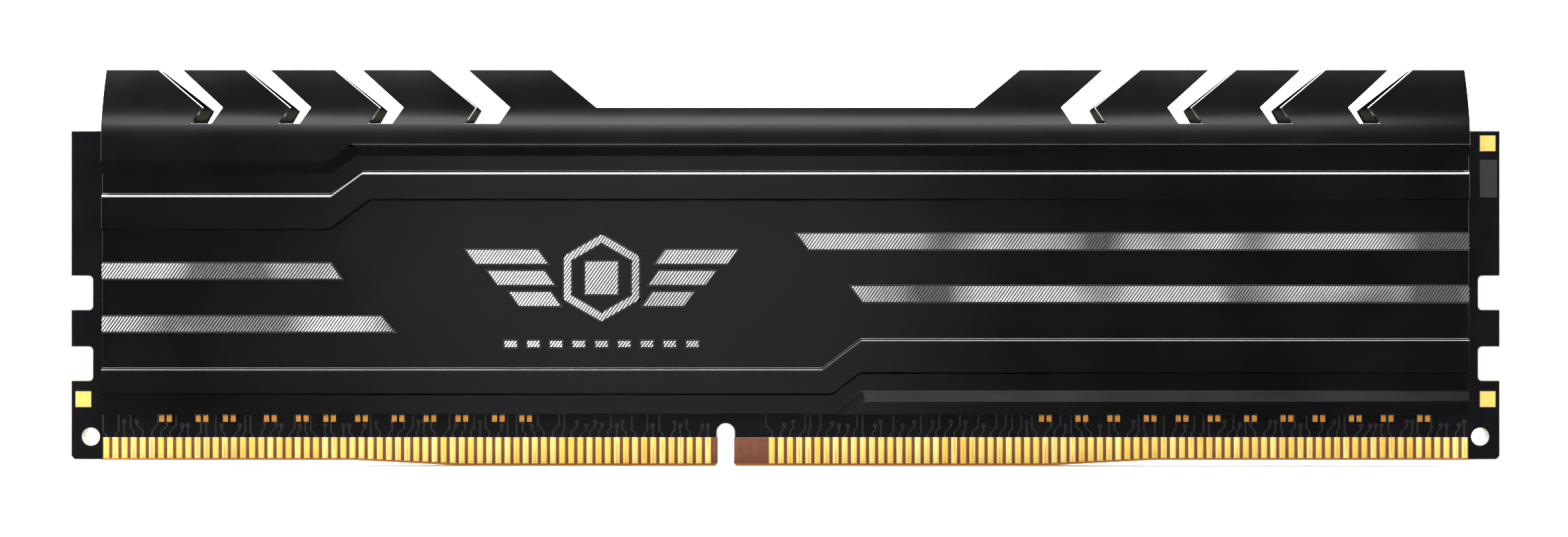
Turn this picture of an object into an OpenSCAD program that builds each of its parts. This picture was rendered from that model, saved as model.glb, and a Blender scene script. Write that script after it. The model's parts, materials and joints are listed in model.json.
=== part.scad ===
// Memory module: a 288-contact board with memory chips on both faces, clad in two identical
// stamped aluminium heat spreaders that thermal adhesive pads hold onto the chips.
// Millimetres. X runs along the module, Y through its thickness, and Z up from the seating edge.
// The origin is the middle of the seating edge, on the board's mid-plane. The front faces -Y.

/* [Board] */
// Height of the board above the middle of its seating edge
board_h = 31.25; // [29:0.05:38]
// Thickness of the board over both solder masks
board_t = 1.4; // [1.2:0.1:1.8]
// Thickness of each solder mask, pad and contact
mask_t = 0.05; // [0.04:0.01:0.08]
// Bare laminate left around the rim of each solder mask
mask_pullback = 0.12; // [0.05:0.01:0.25]
// Chamfer on the board's lower corners
corner_cut = 0.3; // [0.1:0.05:0.5]

/* [Edge connector] */
// Spacing of the edge contacts
pitch = 0.85; // [0.7:0.01:1.1]
// Contacts in the shorter group, at the left of the key
short_n = 67; // [60:1:72]
// Contacts in the longer group, at the right of the key
long_n = 77; // [70:1:82]
// Contact places that the key takes the room of
key_n = 7; // [6:1:9]
// Distance from the end contact's centre to the board's end
end_margin = 3.35; // [3:0.05:5]
// Width of a contact
contact_w = 0.6; // [0.4:0.02:0.66]
// Bare board under each contact
edge_gap = 0.22; // [0.2:0.01:0.4]
// Chamfer along the seating edge
edge_chamfer = 0.2; // [0.1:0.01:0.25]
// Rise of the seating edge towards both ends
seat_step = 0.5; // [0.2:0.05:0.7]
// Height where the contacts end and the solder mask begins
mask_line = 2.65; // [2.3:0.05:3.3]
// Width of the key slot
key_w = 1.5; // [1.2:0.05:1.8]
// Depth of the key slot
key_depth = 3.85; // [3:0.05:4.5]
// Distance from the short group's last contact to the key's centre
key_offset = 1.65; // [1.45:0.05:2.2]

/* [Latch notches and holes] */
// Width of each latch notch
latch_w = 3.0; // [2:0.1:3.6]
// Depth of each latch notch
latch_d = 2.0; // [1:0.05:2.6]
// Height of the lower latch notches
latch_low = 9.5; // [9:0.1:10.5]
// Height of the upper latch notches
latch_high = 16.1; // [15:0.1:20]
// Radius of the notches' inner corners
latch_r = 0.4; // [0.2:0.05:0.9]
// Diameter of the tooling holes
hole_d = 1.6; // [1.2:0.1:2]
// Distance of the tooling holes from the board's ends
hole_inset = 1.9; // [1.6:0.05:2.1]
// Height of the tooling holes
hole_z = 2.7; // [2.5:0.05:3.2]
// Side of the square test pads at the ends
test_pad = 1.4; // [1:0.02:1.6]
// Distance of the test pads from the board's ends
test_pad_inset = 1.2; // [1.1:0.05:1.6]

/* [Components] */
// Width of a memory chip
chip_w = 7.5; // [6:0.1:10]
// Height of a memory chip
chip_h = 11; // [8:0.1:12.5]
// Thickness of a memory chip's moulding
chip_t = 0.9; // [0.7:0.05:1.1]
// Height of the solder balls
ball_h = 0.3; // [0.2:0.05:0.4]
// Diameter of the solder balls
ball_d = 0.45; // [0.3:0.05:0.5]
// Spacing of the solder balls
ball_pitch = 0.8; // [0.7:0.05:0.85]
// Spacing of neighbouring chips
chip_pitch = 14.3; // [12.5:0.1:14.6]
// Distance between the two middle chips
chip_gap = 20; // [17:0.5:22]
// Height of the chips' centres
chip_z = 15.5; // [15.2:0.1:16]
// Thickness of the thermal pads
pad_t = 0.3; // [0.2:0.05:0.6]
// Width of a resistor or capacitor
small_w = 0.38; // [0.3:0.02:0.5]
// Length of a resistor or capacitor
small_l = 1.0; // [0.9:0.05:1.1]
// Height of a resistor or capacitor
small_h = 0.35; // [0.25:0.05:0.5]

/* [Heat spreaders] */
// Sheet thickness
sheet_t = 0.8; // [0.6:0.05:1]
// Board left showing at each end
end_reveal = 3.5; // [3:0.1:5]
// Height of the lower edge
spreader_z0 = 4.9; // [4.7:0.05:5.1]
// Height of the fold, where the fins begin to lean in, above the board's top edge
fold_over = 0.5; // [0.3:0.05:1.5]
// Height of the fins above the fold
fin_h = 5.1; // [3.5:0.05:6]
// Distance of the fin tops from the board's mid-plane
fin_top_y = 1.35; // [1.2:0.05:2]
// Height of the knee in each fin slot, and of the low middle stretch, above the fold
knee_rise = 1.5; // [1:0.05:2]
// Half width of the gap between the two fin groups, at the fin tops
middle_half = 21.8; // [16:0.2:24]
// How far the upper band stands out from the main face
band_h = 0.6; // [0.3:0.05:0.7]
// How far the two ribs stand out from the main face
rib_h = 0.4; // [0.2:0.05:0.5]
// Thickness of the bright strips and the emblem
trim_t = 0.15; // [0.1:0.01:0.2]

/* [Hidden] */
far = 200;          // longer than any part, for cuts and over-long shapes
eps = 0.01;         // overlap that keeps cuts clean

core_t = board_t - 2 * mask_t;
face_y = board_t / 2;
span = (short_n + long_n - 2 + key_n) * pitch;
board_l = span + 2 * end_margin;
first_x = -span / 2;
last_x = span / 2;
long_x = last_x - (long_n - 1) * pitch;
key_x = first_x + (short_n - 1) * pitch + key_offset;

// The seating edge is straight in the middle and steps up to both ends over a gentle ramp.
ramp_n = 12;
short_flat_n = 27;
long_flat_n = 34;
ramp_left = first_x + short_flat_n * pitch;
ramp_right = last_x - long_flat_n * pitch;
seat_edge = [
    [-board_l / 2, seat_step],
    [ramp_left, seat_step],
    [ramp_left + ramp_n * pitch, 0],
    [ramp_right - ramp_n * pitch, 0],
    [ramp_right, seat_step],
    [board_l / 2, seat_step]];

// Resistor pairs, counted in contact pitches from the end contact of each group.
short_pairs = [6.5, 10.5, 13.5, 18, 21.5, 24.5, 28, 32, 35.5, 39, 43, 46];
long_pairs = [4.5, 8.5, 12, 16, 19.5, 23.5, 27.5, 31, 34.5, 38.5, 42, 46];
pair_gap = 0.71;
pad_low_z = 4.1;   // foot of the resistors' lower pads, just under the spreader's edge
pad_w = 0.46;
pad_l = 0.8;
resistor_z = 4.7;
cap_l = 0.2;        // metal cap at each end of a resistor or capacitor
resistor_centres = concat([for (n = short_pairs) first_x + n * pitch], [for (n = long_pairs) last_x - n * pitch]);
capacitor_dx = 2.2;
capacitor_rows = [chip_z - chip_h / 2 - 2.2, chip_z + chip_h / 2 + 2.2];

mask_black = [0.07, 0.07, 0.08];
gold = [0.9, 0.68, 0.25];
tin = [0.75, 0.75, 0.76];
moulding = [0.12, 0.12, 0.13];
painted = [0.05, 0.05, 0.055];
silver = [0.72, 0.72, 0.73];

chip_x = [for (i = [0:7]) (i < 4 ? -1 : 1) * (chip_gap / 2 + (i < 4 ? 3 - i : i - 4) * chip_pitch)];
// As many rows of balls as fit under a chip, in two groups of three columns near its sides.
ball_margin = 0.8;
ball_rows = floor((chip_h - ball_margin) / ball_pitch) + 1;
ball_outer = floor((chip_w - ball_margin) / 2 / ball_pitch);
ball_columns = [for (k = [0:2], s = [-1, 1]) s * (ball_outer - k)];

test_pad_low = 6.2; // height of the lower test pads
test_pad_drop = 1.22; // from the board's top edge down to the upper test pad
mask_reach = 0.05;  // bare board past the end contacts
key_flare = 0.25;   // lead-in at the mouth of the key slot

mark_w = 1.6;
mark_l = 3.5;
mark_drop = 2.75;   // from the board's top edge down to the ink mark
mark_inset = 0.35;  // from the board's end
mark_t = 0.04;

spd_w = 3;
spd_l = 2;
spd_t = 0.75;
spd_pitch = 0.5;
spd_lead = [0.25, 0.4, 0.1];

// Heights of the spreader's faces over the board's mid-plane.
inner_y = face_y + ball_h + chip_t + pad_t;
plane_y = inner_y + sheet_t;
band_y = plane_y + band_h;
rib_y = plane_y + rib_h;
lip_y = plane_y + band_h;
spreader_l = board_l - 2 * end_reveal;
fold_z = board_h + fold_over;
fin_top_z = fold_z + fin_h;

knee_dx = 0.95;     // the slots lean outward up to the knee, then back over the fin
slot_left_run = 4.42;
slot_right_run = 4.08;
middle_run = 4.33;
slots = [[8.3, 1.9], [16.4, 1.95], [24.7, 2.2], [33.6, 3.15]];  // [from the spreader's end, width]

// Each relief line runs level, climbs one slanted step and runs level again: [x, z, x, z] of the step.
// The upper ones keep their distance from the fold, and the lower ones theirs from the lower edge.
band_step = [-41.9, fold_z - 4.6, -39.75, fold_z - 2.95];
rib_bevel = 0.4;
band_bevel = 1.05;
upper_rib_top = [-42.05, fold_z - 6.45, -39.15, fold_z - 4.35];
upper_rib_foot = [-42.05, fold_z - 9.85, -38.3, fold_z - 7.1];
lower_rib_top = [3.35, spreader_z0 + 4.3, 6.95, spreader_z0 + 7];
lower_rib_foot = [4.4, spreader_z0 + 1.8, 6.9, spreader_z0 + 3.75];
lip_corner = [7.05, spreader_z0 + 2.15];
lip_start = 4.3;
lip_bevel = 1.25;

// Bright strips: [end at the spreader's edge (-1 left, 1 right), lower edge, height, pointed end, slant]
strips = [
    [-1, 17.45, 1.38, -41.1, -0.95],
    [-1, 12.55, 1.38, -36.2, -1.15],
    [1, 20.15, 1.43, 2.15, -1.1],
    [1, 15.3, 1.43, 7.15, -1.1]];

emblem_at = [-17, 17.5];
emblem_hex_r = 4;
emblem_ring_w = 0.75;
emblem_bar = [[0, 6.6, 5.0], [1, 5.2, 4.4], [2, 3.8, 3.8]];    // [row, length, distance from the middle]
emblem_bar_h = 1.25;
emblem_bar_step = 1.95;
emblem_slant = 0.9;
emblem_dash = [1.1, 0.55];
emblem_dash_n = 9;
emblem_dash_pitch = 2.1;
emblem_dash_z = 11.4;

// Pieces are drawn flat: x along the module, y for height, z out from the mid-plane.
module on_front() rotate([90, 0, 0]) children();
module on_rear() rotate([90, 0, 180]) children();
module on_rear_of_board() mirror([0, 1, 0]) on_front() children();

// ---- Board ----

function board_outline(p) = [
    [-board_l / 2 + p, seat_step + corner_cut + p],
    [-board_l / 2 + corner_cut + p, seat_step + p],
    [ramp_left, seat_step + p],
    [ramp_left + ramp_n * pitch, p],
    [ramp_right - ramp_n * pitch, p],
    [ramp_right, seat_step + p],
    [board_l / 2 - corner_cut - p, seat_step + p],
    [board_l / 2 - p, seat_step + corner_cut + p],
    [board_l / 2 - p, board_h - p],
    [-board_l / 2 + p, board_h - p]];

module key_slot(p) {
    translate([key_x - key_w / 2 - p, -1]) square([key_w + 2 * p, 1 + key_depth - key_w / 2]);
    translate([key_x, key_depth - key_w / 2]) circle(r = key_w / 2 + p, $fn = 48);
    mouth = key_w / 2 + key_flare + p;
    polygon([[key_x - mouth, 0], [key_x + mouth, 0], [key_x, mouth]]);
}

module latch_notch(z, p) {
    half = latch_w / 2 + p;
    depth = latch_d + p;
    translate([-board_l / 2 - 1, z - half]) square([1 + depth - latch_r, 2 * half]);
    translate([-board_l / 2 - 1, z - half + latch_r]) square([1 + depth, 2 * (half - latch_r)]);
    for (s = [-1, 1])
        translate([-board_l / 2 + depth - latch_r, z + s * (half - latch_r)]) circle(r = latch_r, $fn = 32);
}

module board_shape(p) {
    difference() {
        polygon(board_outline(p));
        key_slot(p);
        for (m = [0, 1], z = [latch_low, latch_high]) mirror([m, 0]) latch_notch(z, p);
    }
}

module tooling_holes(d) {
    for (s = [-1, 1]) translate([s * (board_l / 2 - hole_inset), hole_z, -board_t]) cylinder(d = d, h = 2 * board_t, $fn = 48);
}

// A vee that follows the seating edge and chamfers both of its corners at 45 degrees.
module seat_vee() {
    apex = edge_chamfer - core_t / 2;
    section = [[0, apex], [core_t, apex + core_t], [core_t, far], [-core_t, far], [-core_t, apex + core_t]];
    path = concat([[-far, seat_step]], [for (i = [1:4]) seat_edge[i]], [[far, seat_step]]);
    n = len(section);
    last = (len(path) - 1) * n;
    polyhedron(
        points = [for (p = path, c = section) [p[0], p[1] + c[1], c[0]]],
        faces = concat(
            [[for (k = [n - 1 : -1 : 0]) k]],
            [[for (k = [0 : n - 1]) last + k]],
            [for (i = [0 : len(path) - 2], k = [0 : n - 1])
                [i * n + k, i * n + (k + 1) % n, (i + 1) * n + (k + 1) % n, (i + 1) * n + k]]));
}

module board_laminate() {
    color([0.42, 0.2, 0.12]) difference() {
        intersection() {
            linear_extrude(core_t, center = true) board_shape(0);
            seat_vee();
        }
        tooling_holes(hole_d);
    }
}

// ---- Solder mask, contacts and pads ----

test_pad_places = [
    [-board_l / 2 + test_pad_inset, test_pad_low],
    [board_l / 2 - test_pad_inset, test_pad_low],
    [board_l / 2 - test_pad_inset, board_h - test_pad_drop]];

module pad_shape(at, size) translate(at) square(size, center = true);

module test_pad_shapes(grow) {
    for (at = test_pad_places) pad_shape(at, [test_pad + 2 * grow, test_pad + 2 * grow]);
}

module solder_mask() {
    window = span + contact_w + 2 * mask_reach;
    color(mask_black) translate([0, 0, core_t / 2]) difference() {
        linear_extrude(mask_t) difference() {
            board_shape(mask_pullback);
            translate([-window / 2, -1]) square([window, 1 + mask_line]);
            test_pad_shapes(mask_reach);
        }
        tooling_holes(hole_d + 2 * mask_reach);
    }
}

module edge_contact(x) {
    foot = lookup(x, seat_edge) + edge_gap;
    translate([x - contact_w / 2, foot, core_t / 2]) cube([contact_w, mask_line - foot, mask_t]);
}

module edge_contacts() color(gold) {
    for (i = [0 : short_n - 1]) edge_contact(first_x + i * pitch);
    for (i = [0 : long_n - 1]) edge_contact(long_x + i * pitch);
}

module test_pads() color(gold) translate([0, 0, core_t / 2]) linear_extrude(mask_t) test_pad_shapes(0);

// The resistors' pads lie on the mask, two to each resistor.
module component_pads() {
    color(gold) translate([0, 0, face_y]) linear_extrude(mask_t)
        for (at = resistor_places, z = [pad_low_z, resistor_z + small_l - cap_l])
            pad_shape([at[0], z + pad_l / 2], [pad_w, pad_l]);
}

module ink_mark() {
    color("black") translate([board_l / 2 - mark_inset - mark_w, board_h - mark_drop - mark_l, face_y])
        cube([mark_w, mark_l, mark_t]);
}

// ---- Components on each face ----

resistor_places = [for (x = resistor_centres, s = [-1, 1]) [x + s * pair_gap / 2, resistor_z]];
capacitor_places = [for (x = chip_x, z = capacitor_rows, i = [-1, 0, 1]) [x + i * capacitor_dx, z - small_l / 2]];

module small_bodies(places, seat, tint) color(tint) {
    for (at = places)
        translate([at[0] - small_w / 2, at[1] + cap_l, seat]) cube([small_w, small_l - 2 * cap_l, small_h]);
}

module small_caps(places, seat) color(tin) {
    for (at = places, z = [0, small_l - cap_l])
        translate([at[0] - small_w / 2, at[1] + z, seat]) cube([small_w, cap_l, small_h]);
}

module memory_chip(x) {
    color(moulding) translate([x - chip_w / 2, chip_z - chip_h / 2, face_y + ball_h]) cube([chip_w, chip_h, chip_t]);
}

module solder_balls() color(tin) {
    for (x = chip_x, r = [0 : ball_rows - 1], c = ball_columns)
        translate([x + c * ball_pitch, chip_z + (r - (ball_rows - 1) / 2) * ball_pitch, face_y])
            cylinder(d = ball_d, h = ball_h, $fn = 24);
}

module spd_chip() color(moulding) translate([-spd_w / 2, chip_z - spd_l / 2, face_y]) cube([spd_w, spd_l, spd_t]);

module spd_terminals() color(tin) {
    for (i = [-1.5 : 1 : 1.5], s = [-1, 1])
        translate([i * spd_pitch, chip_z + s * (spd_l + spd_lead[1]) / 2, face_y + spd_lead[2] / 2])
            cube(spd_lead, center = true);
}

module thermal_pad() {
    over = 0.5;     // how far the pad reaches past the chips
    size = [chip_x[7] - chip_x[0] + chip_w + 2 * over, chip_h + 2 * over, pad_t];
    color("gray") translate([0, chip_z, inner_y - pad_t / 2]) cube(size, center = true);
}

// ---- Heat spreader ----

// Points of a relief line from one side of the spreader to the other.
function relief_line(s) = [[-far / 2, s[1]], [s[0], s[1]], [s[2], s[3]], [far / 2, s[3]]];
function reversed(p) = [for (i = [len(p) - 1 : -1 : 0]) p[i]];

// An outline moved inward by d: every edge shifts along its normal and meets the next one.
function unit(v) = v / norm(v);
function edge_normal(a, b) = unit([a[1] - b[1], b[0] - a[0]]);
function corner(a, b, c, d) =
    let (n1 = edge_normal(a, b), n2 = edge_normal(b, c)) b + d / (1 + n1 * n2) * (n1 + n2);
function inset(p, d) =
    [for (i = [0 : len(p) - 1]) corner(p[(i + len(p) - 1) % len(p)], p[i], p[(i + 1) % len(p)], d)];

// A raised panel with bevelled sides between a lower and an upper line of as many points. Its sides
// run on below y0 at the same slope, so that it joins what it stands on.
module plateau(lower, upper, y0, y1, bevel) {
    outline = concat(lower, reversed(upper));
    root = 0.3;
    foot = inset(outline, -root * bevel / (y1 - y0));
    crest = inset(outline, bevel);
    n = len(outline);
    polyhedron(
        points = concat([for (p = foot) [p[0], p[1], y0 - root]], [for (p = crest) [p[0], p[1], y1]]),
        faces = concat(
            [for (i = [0 : n / 2 - 2]) [i, i + 1, n - 2 - i, n - 1 - i]],
            [for (i = [0 : n / 2 - 2]) [n + i + 1, n + i, 2 * n - 1 - i, 2 * n - 2 - i]],
            [for (i = [0 : n - 1]) [i, n + i, n + (i + 1) % n, (i + 1) % n]]));
}

// The main face, behind everything that stands out from it.
module main_face() translate([-far / 2, spreader_z0 - 2, -2]) cube([far, fold_z - spreader_z0 + 1, plane_y + 2]);

// The fins lean in from the fold, which is the top of the upper band.
module fins() {
    lean = (band_y - fin_top_y) / (fin_top_z - fold_z);
    over = 2;
    rotate([90, 0, 90]) linear_extrude(far, center = true) polygon([
        [fold_z - over, -over], [fold_z - over, plane_y - sheet_t], [fold_z, band_y],
        [fin_top_z + over, fin_top_y - over * lean], [fin_top_z + over, -over]]);
}

// The upper band reaches lower at the left, down to a slanted step.
module upper_band() {
    line = relief_line(band_step);
    plateau(line, [for (p = line) [p[0], fold_z + band_bevel]], plane_y, band_y, band_bevel);
}

module upper_rib() plateau(relief_line(upper_rib_foot), relief_line(upper_rib_top), plane_y, rib_y, rib_bevel);

module lower_rib() plateau(relief_line(lower_rib_foot), relief_line(lower_rib_top), plane_y, rib_y, rib_bevel);

// The bevelled lip at the lower right edge, which starts with a slanted end.
module lower_lip() {
    slant = (lip_corner[0] - lip_start) / (lip_corner[1] - spreader_z0);
    below = 3;
    plateau(
        [[lip_start - below * slant, spreader_z0 - below], [far / 2, spreader_z0 - below]],
        [lip_corner, [far / 2, lip_corner[1]]],
        plane_y, lip_y, lip_bevel);
}

// What lies behind the spreader's outer surface.
module relief() {
    main_face();
    fins();
    upper_band();
    upper_rib();
    lower_rib();
    lower_lip();
}

module fin_slot(x, w) {
    rise = fin_top_z - fold_z - knee_rise;
    polygon([
        [x, fold_z], [x + w, fold_z], [x + w + knee_dx, fold_z + knee_rise],
        [x + w + knee_dx - slot_right_run * (rise + 1) / rise, fin_top_z + 1],
        [x + knee_dx - slot_left_run * (rise + 1) / rise, fin_top_z + 1], [x + knee_dx, fold_z + knee_rise]]);
}

module spreader_shape() {
    difference() {
        translate([-spreader_l / 2, spreader_z0]) square([spreader_l, fin_top_z - spreader_z0]);
        for (m = [0, 1], s = slots) mirror([m, 0]) fin_slot(s[0] - spreader_l / 2, s[1]);
        polygon([
            [-middle_half + middle_run, fold_z + knee_rise], [middle_half - middle_run, fold_z + knee_rise],
            [middle_half, fin_top_z], [middle_half, fin_top_z + 1], [-middle_half, fin_top_z + 1],
            [-middle_half, fin_top_z]]);
    }
}

module heat_spreader() {
    color(painted) difference() {
        intersection() {
            linear_extrude(plane_y + 2) spreader_shape();
            relief();
        }
        translate([0, 0, -sheet_t]) relief();
    }
}

// A strip runs from the spreader's edge to a slanted point.
module bright_strip(s) {
    edge = s[0] * spreader_l / 2;
    color(silver) translate([0, 0, plane_y]) linear_extrude(trim_t)
        polygon([[edge, s[1]], [s[3], s[1]], [s[3] + s[4], s[1] + s[2]], [edge, s[1] + s[2]]]);
}

// A plain emblem: a hexagon with a square inside it, three slanted bars on each side and a row of dashes.
module emblem() {
    color(silver) translate([0, 0, plane_y]) linear_extrude(trim_t) {
        translate(emblem_at) {
            rotate(30) difference() {
                circle(r = emblem_hex_r, $fn = 6);
                circle(r = emblem_hex_r - emblem_ring_w, $fn = 6);
            }
            square(emblem_hex_r * 0.75, center = true);
            for (m = [0, 1], b = emblem_bar) mirror([m, 0])
                translate([b[2], (1 - b[0]) * emblem_bar_step - emblem_bar_h / 2])
                    polygon([[0, 0], [b[1], 0], [b[1] + emblem_slant, emblem_bar_h], [emblem_slant, emblem_bar_h]]);
        }
        for (i = [0 : emblem_dash_n - 1])
            translate([emblem_at[0] + (i - (emblem_dash_n - 1) / 2) * emblem_dash_pitch, emblem_dash_z])
                square(emblem_dash, center = true);
    }
}

// ---- Nodes ----

mask_top = face_y + mask_t;

on_front() board_laminate();
on_front() solder_mask();  // solder_mask_front
on_rear_of_board() solder_mask();  // solder_mask_rear
on_front() edge_contacts();  // edge_contacts_front
on_rear_of_board() edge_contacts();  // edge_contacts_rear
on_front() test_pads();  // test_pads_front
on_rear_of_board() test_pads();  // test_pads_rear
on_front() component_pads();  // component_pads_front
on_rear_of_board() component_pads();  // component_pads_rear
on_front() ink_mark();
on_front() small_bodies(resistor_places, mask_top, moulding);  // series_resistors_front
on_rear_of_board() small_bodies(resistor_places, mask_top, moulding);  // series_resistors_rear
on_front() small_caps(resistor_places, mask_top);  // resistor_caps_front
on_rear_of_board() small_caps(resistor_places, mask_top);  // resistor_caps_rear
on_front() small_bodies(capacitor_places, face_y, "tan");  // capacitors_front
on_rear_of_board() small_bodies(capacitor_places, face_y, "tan");  // capacitors_rear
on_front() small_caps(capacitor_places, face_y);  // capacitor_caps_front
on_rear_of_board() small_caps(capacitor_places, face_y);  // capacitor_caps_rear
on_rear_of_board() spd_chip();
on_rear_of_board() spd_terminals();
on_front() solder_balls();  // solder_balls_front
on_rear_of_board() solder_balls();  // solder_balls_rear
for (i = [0 : 7]) {
    on_front() memory_chip(chip_x[i]);
    on_rear_of_board() memory_chip(chip_x[i]);
}
on_front() thermal_pad();  // thermal_pad_front
on_rear() thermal_pad();  // thermal_pad_rear
on_front() heat_spreader();  // heat_spreader_front
on_rear() heat_spreader();  // heat_spreader_rear
for (i = [0 : 3]) {
    on_front() bright_strip(strips[i]);
    on_rear() bright_strip(strips[i]);
}
on_front() emblem();  // emblem_front
on_rear() emblem();  // emblem_rear
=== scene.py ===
import json
import math

import bpy
import numpy as np
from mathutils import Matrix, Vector


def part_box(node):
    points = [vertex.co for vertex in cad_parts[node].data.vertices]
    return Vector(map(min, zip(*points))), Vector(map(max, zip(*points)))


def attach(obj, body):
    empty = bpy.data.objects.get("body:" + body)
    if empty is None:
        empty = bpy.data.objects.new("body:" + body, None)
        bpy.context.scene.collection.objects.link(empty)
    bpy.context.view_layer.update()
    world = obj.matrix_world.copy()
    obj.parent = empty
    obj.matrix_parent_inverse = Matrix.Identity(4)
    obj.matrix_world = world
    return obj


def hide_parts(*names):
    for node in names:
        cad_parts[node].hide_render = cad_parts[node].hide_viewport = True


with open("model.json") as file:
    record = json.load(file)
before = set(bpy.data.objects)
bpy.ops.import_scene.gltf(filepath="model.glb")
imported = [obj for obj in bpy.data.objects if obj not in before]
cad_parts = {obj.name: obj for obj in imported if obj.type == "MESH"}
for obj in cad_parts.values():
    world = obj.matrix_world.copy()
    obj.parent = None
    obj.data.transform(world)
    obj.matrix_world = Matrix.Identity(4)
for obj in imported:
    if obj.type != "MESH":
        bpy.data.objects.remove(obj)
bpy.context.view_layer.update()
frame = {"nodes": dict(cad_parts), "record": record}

# A memory module: a circuit board with an edge connector between two black heat spreaders, each
# folded from sheet, with leaning fins, raised ribs and bright ruled trim. Lengths are written in
# millimetres and multiplied by MM. Everything is in the frame of the CAD model: X along the module,
# the front towards -Y, Z up from the seating edge.

MM = 0.001
RNG = np.random.default_rng(288)


# ---------------------------------------------------------------- sizes read from the frame

def node_box(node):
    """Lowest and highest corner of a CAD node, in millimetres."""
    low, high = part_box(node)
    return np.array(low) / MM, np.array(high) / MM


BOARD_LOW, BOARD_HIGH = node_box("board_laminate")
SHELL_LOW, SHELL_HIGH = node_box("heat_spreader_front")
STRIP_LOW, STRIP_HIGH = node_box("bright_strip_front_3")
CONTACT_HIGH = node_box("edge_contacts_front")[1]
MASK_LOW = node_box("solder_mask_front")[0]

BOARD_L = BOARD_HIGH[0] - BOARD_LOW[0]
SHELL_L = SHELL_HIGH[0] - SHELL_LOW[0]
SHELL_Z0 = SHELL_LOW[2]
SHEET_T = 0.8
PITCH = 0.85

# Distances outward from the middle of the board, and heights over the seating edge.
BAND_Y = -SHELL_LOW[1]
PLANE_Y = -STRIP_HIGH[1]
FIN_TOP_Y = SHEET_T - SHELL_HIGH[1]
MASK_Y = -MASK_LOW[1]
FIN_TOP_Z = SHELL_HIGH[2]
MASK_LINE = CONTACT_HIGH[2]


# ---------------------------------------------------------------- mesh helpers

def piece(name, points, faces, finish, bevel=0.0):
    """A mesh of points in millimetres, riding on the module's one body, its edges rounded by bevel."""
    mesh = bpy.data.meshes.new(name)
    mesh.from_pydata((np.asarray(points) * MM).tolist(), [], [list(map(int, f)) for f in faces])
    mesh.validate()
    mesh.polygons.foreach_set("use_smooth", np.full(len(mesh.polygons), bevel > 0))
    mesh.materials.append(finish)
    obj = bpy.data.objects.new(name, mesh)
    bpy.context.scene.collection.objects.link(obj)
    if bevel:
        rounding = obj.modifiers.new("rounded_edges", "BEVEL")
        rounding.width = bevel * MM
        rounding.segments = 2
        rounding.limit_method = "ANGLE"
        rounding.angle_limit = math.radians(12)
        rounding.harden_normals = True
    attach(obj, "root")
    return obj


def grid_quads(rows, columns):
    """Corner numbers of each cell of a grid whose points are stored row after row."""
    first = (np.arange(rows - 1)[:, None] * columns + np.arange(columns - 1)[None, :]).ravel()
    return np.stack([first, first + 1, first + columns + 1, first + columns], axis=1)


def rim_quads(faces, count):
    """Faces between the open edges of a sheet and those of its copy, whose points follow count later."""
    pairs = np.concatenate([np.stack([f, np.roll(f, -1, axis=1)], axis=2).reshape(-1, 2) for f in faces])
    key = np.sort(pairs, axis=1)
    _, index, times = np.unique(key, axis=0, return_index=True, return_counts=True)
    a, b = pairs[index[times == 1]].T
    return np.stack([b, a, a + count, b + count], axis=1)


def thick_sheet(outer, faces, step):
    """Points and faces of a closed sheet: the outer points, and the same points moved by step."""
    used = np.unique(np.concatenate([f.ravel() for f in faces]))
    renumber = np.zeros(len(outer), int)
    renumber[used] = np.arange(len(used))
    faces = [renumber[f] for f in faces]
    outer = outer[used]
    count = len(outer)
    points = np.concatenate([outer, outer + np.asarray(step)])
    back = [f[:, ::-1] + count for f in faces]
    return points, [list(f) for group in faces + back + [rim_quads(faces, count)] for f in group]


def half_turn(points):
    """The same points turned half round about Z, from the front of the module to its rear."""
    return np.asarray(points) * np.array([-1.0, -1.0, 1.0])


# ---------------------------------------------------------------- materials

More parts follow.
